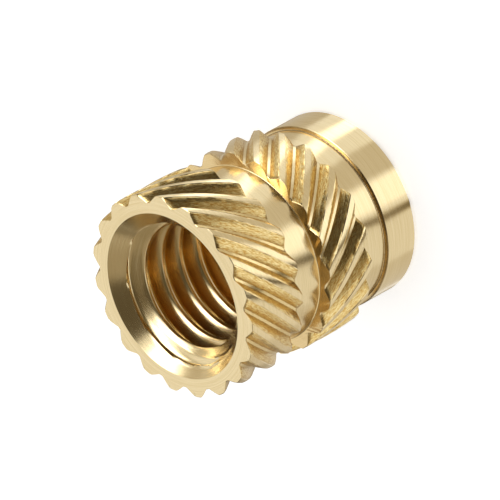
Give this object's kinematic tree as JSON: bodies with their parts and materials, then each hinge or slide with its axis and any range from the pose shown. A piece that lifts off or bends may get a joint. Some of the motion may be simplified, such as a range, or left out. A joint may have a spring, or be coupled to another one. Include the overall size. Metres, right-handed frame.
{
  "type": "threaded insert",
  "caption": "Turned brass insert with an internal thread, opposite-hand helical knurl bands, two necks and a plain pilot end, pressed or melted into plastic.",
  "frame": {"origin": "centre of the pilot end, which the insert stands on", "axes": "+Z along the bore axis, out of the countersunk mouth"},
  "size_m": [0.0042, 0.0042, 0.005],
  "materials": {
    "brass": "turned, satin, bare"
  },
  "bodies": {
    "root": {"insert_body": "brass"}
  },
  "joints": []
}
